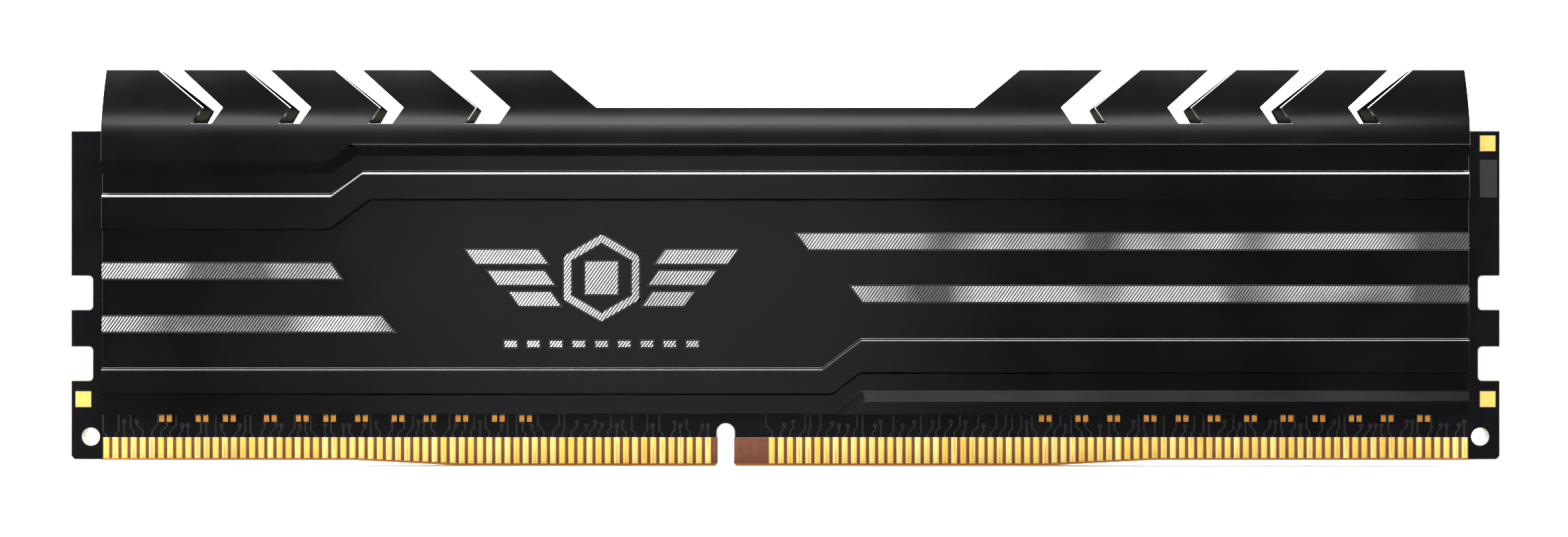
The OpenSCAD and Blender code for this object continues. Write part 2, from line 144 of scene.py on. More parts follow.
class Finish:
    """A material with a Principled shader, and short calls that add and join its nodes."""

    def __init__(self, name, color, roughness, metallic=0.0, **sockets):
        self.material = bpy.data.materials.new(name)
        self.material.use_nodes = True
        self.nodes = self.material.node_tree.nodes
        self.links = self.material.node_tree.links
        self.shader = self.nodes["Principled BSDF"]
        self.shader.inputs["Base Color"].default_value = (*color, 1)
        self.shader.inputs["Roughness"].default_value = roughness
        self.shader.inputs["Metallic"].default_value = metallic
        for socket, value in sockets.items():
            self.shader.inputs[socket.replace("_", " ")].default_value = value
        place = self.add("ShaderNodeTexCoord").outputs["Object"]
        self.millimetres = self.vector("MULTIPLY", place, (1 / MM,) * 3)

    def add(self, kind, **settings):
        node = self.nodes.new(kind)
        for key, value in settings.items():
            setattr(node, key, value)
        return node

    def feed(self, socket, value):
        """Joins an output to a socket, or sets the socket to a number."""
        if isinstance(value, bpy.types.NodeSocket):
            self.links.new(value, socket)
        else:
            socket.default_value = value

    def vector(self, operation, a, b):
        node = self.add("ShaderNodeVectorMath", operation=operation)
        self.feed(node.inputs[0], a)
        self.feed(node.inputs[1], b)
        return node.outputs["Value" if operation == "DOT_PRODUCT" else "Vector"]

    def math(self, operation, a, b=0.0):
        node = self.add("ShaderNodeMath", operation=operation)
        self.feed(node.inputs[0], a)
        self.feed(node.inputs[1], b)
        return node.outputs[0]

    def along(self, direction):
        """Distance in millimetres along a direction."""
        return self.vector("DOT_PRODUCT", self.millimetres, direction)

    def noise(self, scale, detail, stretch=(1, 1, 1)):
        """Noise from 0 to 1 with scale cells to a millimetre, closer together where stretch is high."""
        node = self.add("ShaderNodeTexNoise")
        self.feed(node.inputs["Vector"], self.vector("MULTIPLY", self.millimetres, stretch))
        node.inputs["Scale"].default_value = scale
        node.inputs["Detail"].default_value = detail
        node.inputs["Roughness"].default_value = 0.55
        return node.outputs["Fac"]

    def remap(self, value, low, high, to_low, to_high):
        """Carries low to high onto to_low to to_high in a straight line, and holds it beyond them."""
        node = self.add("ShaderNodeMapRange")
        for socket, number in zip(node.inputs, (value, low, high, to_low, to_high)):
            self.feed(socket, number)
        return node.outputs[0]

    def mix(self, factor, a, b):
        """Colour a where factor is 0 and colour b where it is 1."""
        node = self.add("ShaderNodeMix", data_type="RGBA")
        self.feed(node.inputs["Factor"], factor)
        for socket, color in ((node.inputs[6], a), (node.inputs[7], b)):
            self.feed(socket, color if isinstance(color, bpy.types.NodeSocket) else (*color, 1))
        return node.outputs[2]

    def color(self, value):
        self.feed(self.shader.inputs["Base Color"], value)

    def roughness(self, value):
        self.feed(self.shader.inputs["Roughness"], value)

    def bump(self, height, depth_mm):
        """Raises the surface by height, from 0 to 1, times a depth; later calls add to earlier ones."""
        node = self.add("ShaderNodeBump")
        node.inputs["Distance"].default_value = depth_mm * MM
        self.feed(node.inputs["Height"], height)
        if self.shader.inputs["Normal"].is_linked:
            self.feed(node.inputs["Normal"], self.shader.inputs["Normal"].links[0].from_socket)
        self.feed(self.shader.inputs["Normal"], node.outputs["Normal"])


def spreader_paint():
    """Satin black paint on aluminium: fine grain and faint mottling."""
    f = Finish("spreader_paint", (0.002, 0.002, 0.0022), 0.15, Specular_IOR_Level=0.4)
    mottle = f.noise(0.12, 4)
    grain = f.noise(9, 2)
    paint = f.mix(f.remap(mottle, 0.3, 0.7, 0, 1), (0.001, 0.001, 0.0011), (0.002, 0.002, 0.0022))
    paint = f.mix(f.remap(grain, 0.35, 0.75, 0, 0.3), paint, (0.004, 0.004, 0.0043))
    f.color(paint)
    f.roughness(f.remap(mottle, 0.3, 0.7, 0.14, 0.17))
    f.bump(grain, 0.0015)
    return f.material


def ruled_metal(name, dull, bright):
    """Bright metal with a fine brushed grain, and a painted sheen: its base colour rises and falls from
    dull to bright along the module in place of reflections.
    """
    f = Finish(name, bright, 0.3, 0.85)
    # Painted sheen: large noise along the module mixes the dull and bright colours as painted reflections.
    painted_sheen_sweep = f.noise(0.09, 1.5, (1, 0.2, 0.5))
    grain = f.noise(6, 2, (3, 1, 0.4))
    sheen = f.mix(f.remap(painted_sheen_sweep, 0.4, 0.56, 0, 1), dull, bright)
    sheen = f.mix(f.remap(grain, 0.4, 0.8, 0, 0.25), sheen, (0.3, 0.3, 0.31))
    crest = f.add("ShaderNodeAttribute", attribute_name="crest").outputs["Fac"]
    f.color(f.mix(f.remap(crest, 0.15, 0.6, 0, 1), (0.03, 0.03, 0.031), sheen))
    f.roughness(f.remap(grain, 0.3, 0.7, 0.28, 0.36))
    f.bump(grain, 0.002)
    return f.material


def solder_mask():
    """Black solder mask, smooth and slightly uneven over the copper."""
    f = Finish("black_solder_mask", (0.003, 0.003, 0.0035), 0.22, Specular_IOR_Level=0.15)
    pool = f.noise(0.35, 3)
    f.color(f.mix(f.remap(pool, 0.3, 0.7, 0, 1), (0.0022, 0.0022, 0.0026), (0.0034, 0.0034, 0.004)))
    f.roughness(f.remap(pool, 0.3, 0.7, 0.21, 0.24))
    f.bump(f.noise(2.5, 3), 0.0015)
    return f.material


def covered_copper():
    """Solder mask where a track or a pad lies under it: a little greyer."""
    f = Finish("mask_over_copper", (0.01, 0.01, 0.012), 0.3, Specular_IOR_Level=0.3)
    f.color(f.mix(f.noise(1.5, 2), (0.006, 0.006, 0.007), (0.014, 0.014, 0.016)))
    f.bump(f.noise(6, 2), 0.006)
    return f.material


def gold_plate():
    """Gold plate on the contacts: each differs a little, with a deeper streak down its middle."""
    f = Finish("gold_plate", (1.0, 0.6, 0.16), 0.27, 0.6)
    place = f.math("ADD", f.math("DIVIDE", f.along((1, 0, 0)), PITCH), 0.5)
    own = f.add("ShaderNodeTexWhiteNoise", noise_dimensions="1D")
    f.feed(own.inputs["W"], f.math("ROUND", place))
    across = f.math("SUBTRACT", place, f.math("ROUND", place))
    tint = f.mix(own.outputs["Value"], (1.0, 0.7, 0.13), (1.0, 0.9, 0.3))
    tint = f.mix(f.remap(across, 0.0, 0.3, 0, 0.6), tint, (0.9, 0.46, 0.08))
    edge = f.remap(f.math("ABSOLUTE", across), 0.27, 0.34, 0, 0.8)
    tint = f.mix(edge, tint, (0.3, 0.08, 0.01))
    streak = f.math("MULTIPLY", f.remap(f.math("ABSOLUTE", across), 0.02, 0.12, 1, 0),
                    f.remap(f.noise(0.5, 2, (1.5, 1, 0.7)), 0.46, 0.62, 0, 0.8))
    f.color(f.mix(streak, tint, (0.85, 0.32, 0.03)))
    f.roughness(f.remap(own.outputs["Value"], 0, 1, 0.27, 0.32))
    return f.material


def matt_gold(name, deep, pale):
    """Gold on the pads, matt enough to look the same from every side."""
    f = Finish(name, pale, 0.5, 0.35)
    f.color(f.mix(f.noise(2.5, 3), deep, pale))
    f.bump(f.noise(9, 2), 0.006)
    return f.material


def laminate():
    """Glass and epoxy board: brown between the contacts, tan along the rim, layered at its cut edges."""
    f = Finish("glass_epoxy", (0.21, 0.06, 0.03), 0.55)
    weave = f.noise(1.6, 3)
    brown = f.mix(f.remap(weave, 0.3, 0.7, 0, 1), (0.08, 0.015, 0.002), (0.12, 0.028, 0.004))
    inward = f.math("SUBTRACT", CONTACT_HIGH[0] + 0.2, f.math("ABSOLUTE", f.along((1, 0, 0))))
    below = f.math("SUBTRACT", MASK_LINE, f.along((0, 0, 1)))
    gilt = f.math("MULTIPLY", f.remap(inward, 0, 0.02, 0, 1), f.remap(below, 0, 0.02, 0, 1))
    face = f.mix(gilt, (0.3, 0.27, 0.22), brown)
    layers = f.math("SINE", f.along((0, 2 * math.pi / 0.2, 0)))
    fibre = f.noise(5, 2, (1, 4, 1))
    cut = f.mix(f.remap(layers, -1, 1, 0, 1), (0.32, 0.28, 0.21), (0.46, 0.42, 0.34))
    cut = f.mix(f.remap(fibre, 0.4, 0.7, 0, 0.5), cut, (0.24, 0.2, 0.14))
    cut = f.mix(gilt, cut, (0.36, 0.13, 0.02))
    normal = f.add("ShaderNodeNewGeometry").outputs["True Normal"]
    facing = f.math("ABSOLUTE", f.vector("DOT_PRODUCT", normal, (0, 1, 0)))
    f.color(f.mix(f.remap(facing, 0.8, 0.95, 0, 1), cut, face))
    f.bump(fibre, 0.01)
    return f.material


def tinned():
    """Matt tin on the ends of the small parts and on the solder balls."""
    f = Finish("matt_tin", (0.62, 0.62, 0.63), 0.42, 1.0)
    f.color(f.mix(f.noise(5, 3), (0.5, 0.5, 0.51), (0.74, 0.74, 0.75)))
    f.bump(f.noise(14, 2), 0.005)
    return f.material


def moulded(name, dark, light, roughness, grain):
    """A moulded or fired body with a fine, even grain."""
    f = Finish(name, dark, roughness)
    speck = f.noise(grain, 3)
    f.color(f.mix(f.remap(speck, 0.35, 0.7, 0, 1), dark, light))
    f.roughness(f.remap(speck, 0.3, 0.7, roughness - 0.06, roughness + 0.06))
    f.bump(speck, 0.008)
    return f.material


PAINT = spreader_paint()
# Painted shade: a matt black for the thin borders round the trim, standing in for the shadow outline round
# the raised strips and emblem.
SHADE_OUTLINE_BLACK = moulded("painted_shade_border", (0.002, 0.002, 0.002), (0.005, 0.005, 0.005), 0.5, 10)
RULED = ruled_metal("ruled_metal", (0.12, 0.12, 0.123), (0.75, 0.75, 0.76))
EMBLEM_METAL = ruled_metal("emblem_metal", (0.5, 0.5, 0.51), (0.9, 0.9, 0.91))
COPPER = covered_copper()
TEST_GOLD = matt_gold("test_pad_gold", (0.58, 0.3, 0.04), (0.68, 0.41, 0.09))
# Painted shade: the component pads get a darker, deeper copy of the pad gold, for the shade of the
# spreader's lower edge over them.
PART_GOLD_PAINTED_SHADE = matt_gold("component_pad_gold_painted_shade", (0.34, 0.12, 0.006), (0.46, 0.2, 0.015))
NODE_FINISHES = {
    "laminate": laminate(),
    "solder_mask": solder_mask(),
    "gold": gold_plate(),
    "tin": tinned(),
    "ink": moulded("black_ink", (0.003, 0.003, 0.003), (0.006, 0.006, 0.006), 0.75, 12),
    "moulding": moulded("moulding_compound", (0.016, 0.016, 0.017), (0.035, 0.035, 0.037), 0.6, 8),
    "ceramic": moulded("fired_ceramic", (0.26, 0.17, 0.1), (0.38, 0.26, 0.16), 0.5, 6),
    "thermal_pad": moulded("thermal_pad", (0.2, 0.21, 0.23), (0.28, 0.29, 0.31), 0.8, 5),
    "spreader": PAINT,
    "bright_trim": RULED,
}


def finish_cad_nodes():
    """Gives every CAD node the finish of its material slot, or the matt gold of its kind of pads; the
    component pads' gold is darkened as painted shade.
    """
    for part in frame["record"]["subparts"]:
        node = frame["nodes"][part["node"]]
        node.data.materials.clear()
        finish = NODE_FINISHES[part["material_slot"]]
        if part["node"].startswith("test_pads"):
            finish = TEST_GOLD
        if part["node"].startswith("component_pads"):
            finish = PART_GOLD_PAINTED_SHADE
        node.data.materials.append(finish)


# ---------------------------------------------------------------- heat spreaders

# Ribs, band and lip. A relief line is (x, z) where its climb starts and (x, z) where it ends.
FOLD_Z = BOARD_HIGH[2] + 0.5
RIB_H = 0.4
RIB_BEVEL = 0.14
CREST_SLOPE = 0.73
LOWER_CREST_W = 0.1
UPPER_CREST_W = 0.22
BAND_BEVEL = 1.05
UPPER_RIB_TOP = (-42.05, FOLD_Z - 6.45, -39.15, FOLD_Z - 4.35)
UPPER_RIB_FOOT = (-42.05, FOLD_Z - 9.85, -38.3, FOLD_Z - 7.1)
BAND_FOOT = (-41.9, FOLD_Z - 4.6, -39.75, FOLD_Z - 2.95)
LOWER_RIB_TOP = (3.35, SHELL_Z0 + 4.3, 6.95, SHELL_Z0 + 7.0)
LOWER_RIB_FOOT = (4.4, SHELL_Z0 + 1.8, 6.9, SHELL_Z0 + 3.75)
LIP_START_X = 4.3
LIP_CORNER = (7.05, SHELL_Z0 + 2.15)
LIP_BEVEL = 0.91
LIP_BENDS = (8.5, 10.0)

# Fins: each slot's distance from the end and its width at the fold, the knee in its sides, and how
# far each side runs back from the knee to the fin tops.
SLOTS = ((8.3, 1.9), (16.4, 1.95), (24.7, 2.2), (33.6, 3.15))
KNEE_RISE = 1.5
KNEE_DX = 0.95
SLOT_LEFT_RUN = 4.42
SLOT_RIGHT_RUN = 4.08
MIDDLE_HALF = 21.8
MIDDLE_RUN = 4.33
FOLD_REACH = 0.15
LEAN_AT_FOLD = 0.26
BAND_BOW = 0.16
BAND_BOW_REACH = 3.2
FIN_H = FIN_TOP_Z - FOLD_Z
BAND_RISES = (-2.2, -1.2, -FOLD_REACH)
FIN_RISES = (0, FOLD_REACH, 0.8, KNEE_RISE, 2.4, 3.3, 4.2, FIN_H)
LOW_ROWS = 4
EDGE_ROUNDING = 0.05


def moved_line(line, distance):
    """A relief line moved upwards by distance square to its stretches: both bends slide by the
    tangent of half the climb's angle, so that the stretches stay parallel."""
    x1, z1, x2, z2 = line
    slide = distance * math.tan(math.atan2(z2 - z1, x2 - x1) / 2)
    return x1 - slide, z1 + distance, x2 - slide, z2 + distance


class Columns:
    """Stations along the spreader: its ends, the fins' feet, the middle stretch and the bends."""

    def __init__(self):
        feet = np.array([x for start, width in SLOTS for x in (start, start + width)])
        self.ends = (-SHELL_L / 2, SHELL_L / 2)
        self.middle = MIDDLE_HALF - MIDDLE_RUN
        self.feet = np.concatenate([feet - SHELL_L / 2, (SHELL_L / 2 - feet)[::-1]])
        self.bends = {
            "upper": (BAND_FOOT[0], BAND_FOOT[2]),
            "lower": (LOWER_RIB_TOP[0], LOWER_RIB_TOP[2]),
            "lip": LIP_BENDS}
        self.base = np.sort(np.concatenate([
            self.ends, self.feet, (-self.middle, self.middle), *self.bends.values()]))

    def row(self, **moved):
        """The stations of one row, where the named bends stand at other places along the module."""
        bends = {**self.bends, **moved}
        start = [self.ends[0], *(x for name in self.bends for x in self.bends[name]), self.ends[1]]
        end = [self.ends[0], *(x for name in self.bends for x in bends[name]), self.ends[1]]
        return np.interp(self.base, start, end)

    def fin_row(self, knee, run):
        """The stations of a row of the fins. Both sides of a slot lean outward by knee, then back by
        the share run of the way to the fin tops."""
        left_half = len(self.feet) // 2
        back = np.tile([SLOT_LEFT_RUN, SLOT_RIGHT_RUN], left_half // 2) * run
        shift = np.full(left_half, knee) - back
        feet = self.feet + np.concatenate([shift, -shift[::-1]])
        middle = self.middle + run * MIDDLE_RUN
        start = np.concatenate([[self.ends[0]], self.feet[:left_half], [-self.middle, self.middle],
                                self.feet[left_half:], [self.ends[1]]])
        end = np.concatenate([[self.ends[0]], feet[:left_half], [-middle, middle],
                              feet[left_half:], [self.ends[1]]])
        return np.interp(self.base, start, end)

    def at(self, x):
        """The number of the station nearest to x."""
        return int(np.argmin(abs(self.base - x)))


def level(columns, line, group, height):
    """A row of (x, z, outward distance): a level line with one climb at the group's bends, all of it
    height outward."""
    x1, z1, x2, z2 = line
    x = columns.row(**{group: (x1, x2)})
    return x, np.interp(x, (x1, x2), (z1, z2)), np.full(len(x), height)


def lip_rows(columns):
    """The lower edge, the foot of the lip's slope and its top. The lip's front stands as far out as the
    band, its slope falls back to the plane, and its left end is cut along the climb."""
    climb = math.atan2(LIP_CORNER[1] - SHELL_Z0, LIP_CORNER[0] - LIP_START_X)
    crest_x, crest_z = LIP_CORNER[0] + LIP_BEVEL * math.tan(climb / 2), LIP_CORNER[1] - LIP_BEVEL
    foot_x = LIP_START_X + (crest_z - SHELL_Z0) / math.tan(climb)
    edge_x = crest_x - (crest_z - SHELL_Z0) / math.tan(climb)
    on_lip = np.where(columns.base > LIP_BENDS[0], BAND_Y, PLANE_Y)
    flat = np.full(len(columns.base), PLANE_Y)
    edge = columns.row(lower=(1.5, 3.0), lip=(LIP_START_X, edge_x))
    foot = columns.row(lower=(1.5, 3.2), lip=(foot_x, crest_x))
    top = columns.row(lower=(1.8, 4.2), lip=(LIP_CORNER[0], crest_x + 0.9))
    foot_z = np.interp(foot, (3.2, foot_x), (SHELL_Z0 + 0.4, crest_z))
    top_z = np.interp(top, (4.2, LIP_CORNER[0]), (SHELL_Z0 + 1.0, LIP_CORNER[1]))
    return [(edge, np.full(len(edge), SHELL_Z0), on_lip), (foot, foot_z, on_lip), (top, top_z, flat)]


def rib_rows(columns, top, foot, group, crest_w):
    """A rib between two relief lines: steep sides, and a narrow flat along the upper crest, which
    falls back by CREST_SLOPE times its width."""
    crest = PLANE_Y + RIB_H
    return [
        level(columns, foot, group, PLANE_Y),
        level(columns, moved_line(foot, RIB_BEVEL), group, crest),
        level(columns, moved_line(top, -RIB_BEVEL - crest_w), group, crest),
        level(columns, moved_line(top, -RIB_BEVEL), group, crest - CREST_SLOPE * crest_w),
        level(columns, top, group, PLANE_Y)]


def fold_row(columns, rise, outward):
    """A row at a height over the fold, with the slots' sides and the middle stretch where they are."""
    knee = KNEE_DX * min(max(rise / KNEE_RISE, 0), 1)
    x = columns.fin_row(knee, min(max((rise - KNEE_RISE) / (FIN_H - KNEE_RISE), 0), 1))
    return x, np.full(len(x), FOLD_Z + rise), np.full(len(x), outward)


def spreader_rows(columns):
    """Rows of (x, z, outward distance), from the lower edge up; the ground between two rows is flat.
    The band bows back by a square law up to the fold, which is a short parabola. Above it the fins'
    lean grows evenly, from LEAN_AT_FOLD to the value that reaches the fin tops."""
    rows = lip_rows(columns)
    rows += rib_rows(columns, LOWER_RIB_TOP, LOWER_RIB_FOOT, "lower", LOWER_CREST_W)
    rows += rib_rows(columns, UPPER_RIB_TOP, UPPER_RIB_FOOT, "upper", UPPER_CREST_W)
    rows.append(level(columns, BAND_FOOT, "upper", PLANE_Y))
    rows.append(level(columns, moved_line(BAND_FOOT, BAND_BEVEL), "upper", BAND_Y))
    for rise in BAND_RISES:
        rows.append(fold_row(columns, rise, BAND_Y - BAND_BOW * (1 + rise / BAND_BOW_REACH) ** 2))
    start_y = BAND_Y - BAND_BOW
    growth = 2 * ((start_y - FIN_TOP_Y) / FIN_H - LEAN_AT_FOLD) / FIN_H
    for rise in FIN_RISES:
        outward = start_y - LEAN_AT_FOLD * rise - growth * rise ** 2 / 2
        if rise == 0:
            outward -= LEAN_AT_FOLD * FOLD_REACH / 4
        rows.append(fold_row(columns, rise, outward))
    return rows


def spreader_mesh():
    """One grid of rows and columns, without the cells of the slots and of the low middle stretch. The
    inner face is the outer one moved in by the sheet's thickness."""
    columns = Columns()
    rows = spreader_rows(columns)
    points = np.concatenate([np.stack([x, -y, z], axis=1) for x, z, y in rows])
    count = len(columns.base)
    quads = grid_quads(len(rows), count).reshape(len(rows) - 1, count - 1, 4)
    keep = np.ones(quads.shape[:2], bool)
    for left in columns.feet[::2]:
        keep[1 - len(FIN_RISES):, columns.at(left)] = False
    keep[-LOW_ROWS:, columns.at(-columns.middle):columns.at(columns.middle)] = False

    # The lip's cut end is two triangles, so that its edge stays straight.
    mitre = columns.at(LIP_BENDS[0])
    keep[1, mitre] = False
    a, b, c, d = quads[1, mitre]
    corner = np.array([[a, b, d], [d, b, c]])
    return thick_sheet(points, [quads[keep], corner], (0, SHEET_T, 0))


def heat_spreaders():
    """The front spreader, and the same one turned half round for the rear."""
    points, faces = spreader_mesh()
    front = piece("spreader_front", points, faces, PAINT, bevel=EDGE_ROUNDING)
    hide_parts("heat_spreader_front")
    rear = piece("spreader_rear", half_turn(points), faces, PAINT, bevel=EDGE_ROUNDING)
    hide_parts("heat_spreader_rear")


# ---------------------------------------------------------------- tracks under the solder mask

TRACK_W = 0.13
TRACK_H = 0.015
TRACK_GAP = 0.5
TRACK_SWAYS = (-0.55, -0.3, 0.0, 0.3, 0.55)
TRACK_TOPS = (3.55, 3.9, SHELL_Z0 + 0.4)
TOP_SHARES = (0.3, 0.3, 0.4)
CONTACTS_BEFORE_NOTCH = 67
CONTACTS_AFTER_NOTCH = 77
CONTACT_W = 0.6
VIA_R = 0.2
VIA_HOLE_R = 0.08
VIA_SIDES = 12


def track_routes(contact_x):
    """Four-point routes up from the contacts: straight, one slanted stretch, straight again. Their
    upper ends stay at least TRACK_GAP apart."""
    count = len(contact_x)
    room = TRACK_GAP * np.arange(count)
    sway = RNG.choice(TRACK_SWAYS, count)
    sway = np.maximum.accumulate(contact_x + sway - room) + room - contact_x
    first = MASK_LINE + RNG.uniform(0.15, 0.6, count)
    last = RNG.choice(TRACK_TOPS, count, p=TOP_SHARES)
    slant_top = first + abs(sway) + 0.02
    z = np.stack([np.full(count, MASK_LINE + 0.01), first, slant_top, np.maximum(last, slant_top + 0.1)], 1)
    x = contact_x[:, None] + np.stack([0 * sway, 0 * sway, sway, sway], 1)
    return x, z


def ridges(x, z):
    """A flat-topped ridge along each route: a four-cornered outline at its four points, closed by a
    face at each end."""
    half, foot = TRACK_W / 2, TRACK_W / 2 + TRACK_H
    profile = np.array([[-foot, 0], [-half, TRACK_H], [half, TRACK_H], [foot, 0]])
    points = np.stack(np.broadcast_arrays(
        x[:, :, None] + profile[:, 0], -MASK_Y - profile[:, 1], z[:, :, None] + 0 * profile[:, 0]), axis=3)
    step, corner = np.meshgrid(np.arange(3), np.arange(4), indexing="ij")
    a, b = step * 4 + corner, step * 4 + (corner + 1) % 4
    sides = np.stack([a, b, b + 4, a + 4], 2).reshape(-1, 4)
    cells = np.concatenate([sides, [[3, 2, 1, 0], [12, 13, 14, 15]]])
    faces = (np.arange(len(x))[:, None, None] * 16 + cells).reshape(-1, 4)
    return points.reshape(-1, 3), faces


def via_rings(x, z):
    """A raised ring round each (x, z): a four-cornered outline turned round the hole."""
    turn = np.linspace(0, 2 * math.pi, VIA_SIDES, endpoint=False)
    profile = np.array([
        [VIA_R + TRACK_H, 0], [VIA_R, TRACK_H], [VIA_HOLE_R, TRACK_H], [VIA_HOLE_R - TRACK_H, 0]])
    points = np.stack(np.broadcast_arrays(
        x[:, None, None] + profile[:, None, 0] * np.cos(turn),
        -MASK_Y - profile[:, None, 1] + 0 * turn,
        z[:, None, None] + profile[:, None, 0] * np.sin(turn)), axis=3)
    corner, side = np.meshgrid(np.arange(4), np.arange(VIA_SIDES), indexing="ij")
    here, inner, ahead = corner * VIA_SIDES, (corner + 1) % 4 * VIA_SIDES, (side + 1) % VIA_SIDES
    around = np.stack([here + side, here + ahead, inner + ahead, inner + side], 2).reshape(-1, 4)
    faces = (np.arange(len(x))[:, None, None] * 4 * VIA_SIDES + around).reshape(-1, 4)
    return points.reshape(-1, 3), faces


def tracks(side):
    """The ridges over the tracks from the contacts of one side, and a ring at the end of each route
    that stops below the spreader, where a through-hole is."""
    low, high = node_box("edge_contacts_" + side)
    contact_x = np.sort(np.concatenate([
        low[0] + CONTACT_W / 2 + PITCH * np.arange(CONTACTS_BEFORE_NOTCH),
        high[0] - CONTACT_W / 2 - PITCH * np.arange(CONTACTS_AFTER_NOTCH)]))
    x, z = track_routes(contact_x)
    points, faces = ridges(x, z)
    holes = z[:, 3] < SHELL_Z0
    ring_points, ring_faces = via_rings(x[holes, 3], z[holes, 3] + VIA_R)
    faces = np.concatenate([faces, ring_faces + len(points)])
    points = np.concatenate([points, ring_points])
    if side == "rear":
        points = points * np.array([1.0, -1.0, 1.0])
        faces = faces[:, ::-1]
    piece("tracks_" + side, points, faces, COPPER)


# ---------------------------------------------------------------- bright ruled trim

BORDER_W = 0.16
BORDER_H = 0.02
END_MARGIN = 0.05
TRIM_T = STRIP_HIGH[1] - STRIP_LOW[1]
STRIP_SLANTS = {1: 0.95, 2: 1.15, 3: 1.1, 4: 1.1}
RULE_PITCH = 0.3
RULE_DEPTH = 0.06
RULE_SLANT = 0.71
RULE_MARGIN = 0.004

# Emblem. A bar is (its row, its length, its start from the middle); a dash is (width, height).
HEX_R = 4
HEX_RING_W = 0.75
SQUARE_W = 3.0
BARS = ((1, 6.6, 5.0), (0, 5.2, 4.4), (-1, 3.8, 3.8))
BAR_H = 1.25
BAR_STEP = 1.95
BAR_SLANT = 0.9
DASH = (1.1, 0.55)
DASH_COUNT = 9
DASH_PITCH = 2.1


def grown(quads, distance):
    """Four-sided outlines moved outward by distance: each corner goes along its two edges' normals."""
    edge = np.roll(quads, -1, axis=1) - quads
    normal = np.stack([edge[..., 1], -edge[..., 0]], axis=2)
    normal /= np.linalg.norm(normal, axis=2, keepdims=True)
    before = np.roll(normal, 1, axis=1)
    dot = (normal * before).sum(axis=2, keepdims=True)
    return quads + distance * (normal + before) / (1 + dot)


def strip_outline(number):
    """The outline of one strip, anticlockwise, from the box of its node. Its inner end is slanted."""
    low, high = node_box("bright_strip_front_%d" % number)
    slant = STRIP_SLANTS[number]
    if number < 3:
        quad = [[low[0], low[2]], [high[0], low[2]], [high[0] - slant, high[2]], [low[0], high[2]]]
    else:
        quad = [[low[0] + slant, low[2]], [high[0], low[2]], [high[0], high[2]], [low[0], high[2]]]
    return np.array([quad])


def rectangle(x, z, width, height, slant=0.0):
    """A rectangle round (x, z), its top edge moved along by slant."""
    w, h = width / 2, height / 2
    return [[x - w, z - h], [x + w, z - h], [x + w + slant, z + h], [x - w + slant, z + h]]


def emblem_outlines():
    """The hexagon ring as six four-sided pieces, the square in it, the slanted bars and the dashes."""
    low, high = node_box("emblem_front")
    x, z = (low[0] + high[0]) / 2, high[2] - HEX_R
    turn = np.radians(np.arange(7) * 60 + 30)
    rim = np.stack([np.cos(turn), np.sin(turn)], axis=1)
    inner, outer = rim * (HEX_R - HEX_RING_W), rim * HEX_R
    ring = np.stack([inner[:-1], outer[:-1], outer[1:], inner[1:]], 1)
    bars = np.array([rectangle(start + length / 2, row * BAR_STEP, length, BAR_H, BAR_SLANT)
                     for row, length, start in BARS])
    mirrored = (bars * (-1, 1))[:, ::-1]
    square = np.array([rectangle(0, 0, SQUARE_W, SQUARE_W)])
    dash_x = (np.arange(DASH_COUNT) - (DASH_COUNT - 1) / 2) * DASH_PITCH
    dashes = np.array([rectangle(place, low[2] + DASH[1] / 2 - z, *DASH) for place in dash_x])
    return np.concatenate([ring, square, bars, mirrored, dashes]) + (x, z)


def ruled_plate(outline):
    """Points, faces and crest heights of a plate whose face is ruled with fine slanted grooves. Every
    ruling is one column, from the outline's lower side to its upper one, and its height is a triangle
    wave from 0 in the grooves to 1 on the crests."""
    across = outline[:, 0] - outline[:, 1] * RULE_SLANT
    outline = np.roll(outline, -np.argmin(across), axis=0)
    across = np.roll(across, -np.argmin(across))
    far = int(np.argmax(across))
    half = RULE_PITCH / 2
    rulings = np.arange(math.ceil(across[0] / half), across[far] / half) * half
    rulings = np.clip(np.concatenate([rulings, across]), across[0] + RULE_MARGIN, across[far] - RULE_MARGIN)
    rulings = np.unique(rulings.round(6))
    lower = np.interp(rulings, across[:far + 1], outline[:far + 1, 1])
    back = np.append(across[far:], across[0])[::-1]
    upper = np.interp(rulings, back, np.append(outline[far:, 1], outline[0, 1])[::-1])
    z = np.concatenate([lower, upper])
    x = np.tile(rulings, 2) + z * RULE_SLANT
    wave = abs((rulings / RULE_PITCH + 0.5) % 1 * 2 - 1)
    face = -PLANE_Y - TRIM_T + RULE_DEPTH * (1 - np.tile(wave, 2))
    points = np.concatenate([np.stack([x, face, z], 1), np.stack([x, np.full(len(x), -PLANE_Y), z], 1)])
    quads = grid_quads(2, len(rulings))
    sides = rim_quads([quads], len(x))
    crest = np.concatenate([wave, wave, wave, wave])
    return points, np.concatenate([quads, quads[:, ::-1] + len(x), sides]), crest


def ruled_piece(name, node, outlines, turned, finish=RULED):
    """One piece of ruled plates that takes the place of a CAD node."""
    plates = [ruled_plate(outline) for outline in outlines]
    starts = np.cumsum([0] + [len(points) for points, _, _ in plates[:-1]])
    faces = np.concatenate([faces + start for (_, faces, _), start in zip(plates, starts)])
    points = np.concatenate([points for points, _, _ in plates])
    crest = np.concatenate([crest for _, _, crest in plates])
    obj = piece(name, half_turn(points) if turned else points, faces, finish)
    obj.data.attributes.new("crest", "FLOAT", "POINT").data.foreach_set("value", crest)
    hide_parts(node)


def trim_borders(outlines):
    """Points and faces of thin matt black plates, each a little larger than a plate of the trim and half
    sunk into the plane: painted shade, a dark rim standing for the shadow round the raised trim."""
    border = grown(outlines, BORDER_W).reshape(-1, 2)
    x = np.clip(border[:, 0], SHELL_LOW[0] + END_MARGIN, SHELL_HIGH[0] - END_MARGIN)
    count = len(border)
    flat = np.stack([x, np.full(count, -PLANE_Y - BORDER_H), border[:, 1]], axis=1)
    return thick_sheet(flat, [np.arange(count).reshape(-1, 4)], (0, 2 * BORDER_H, 0))


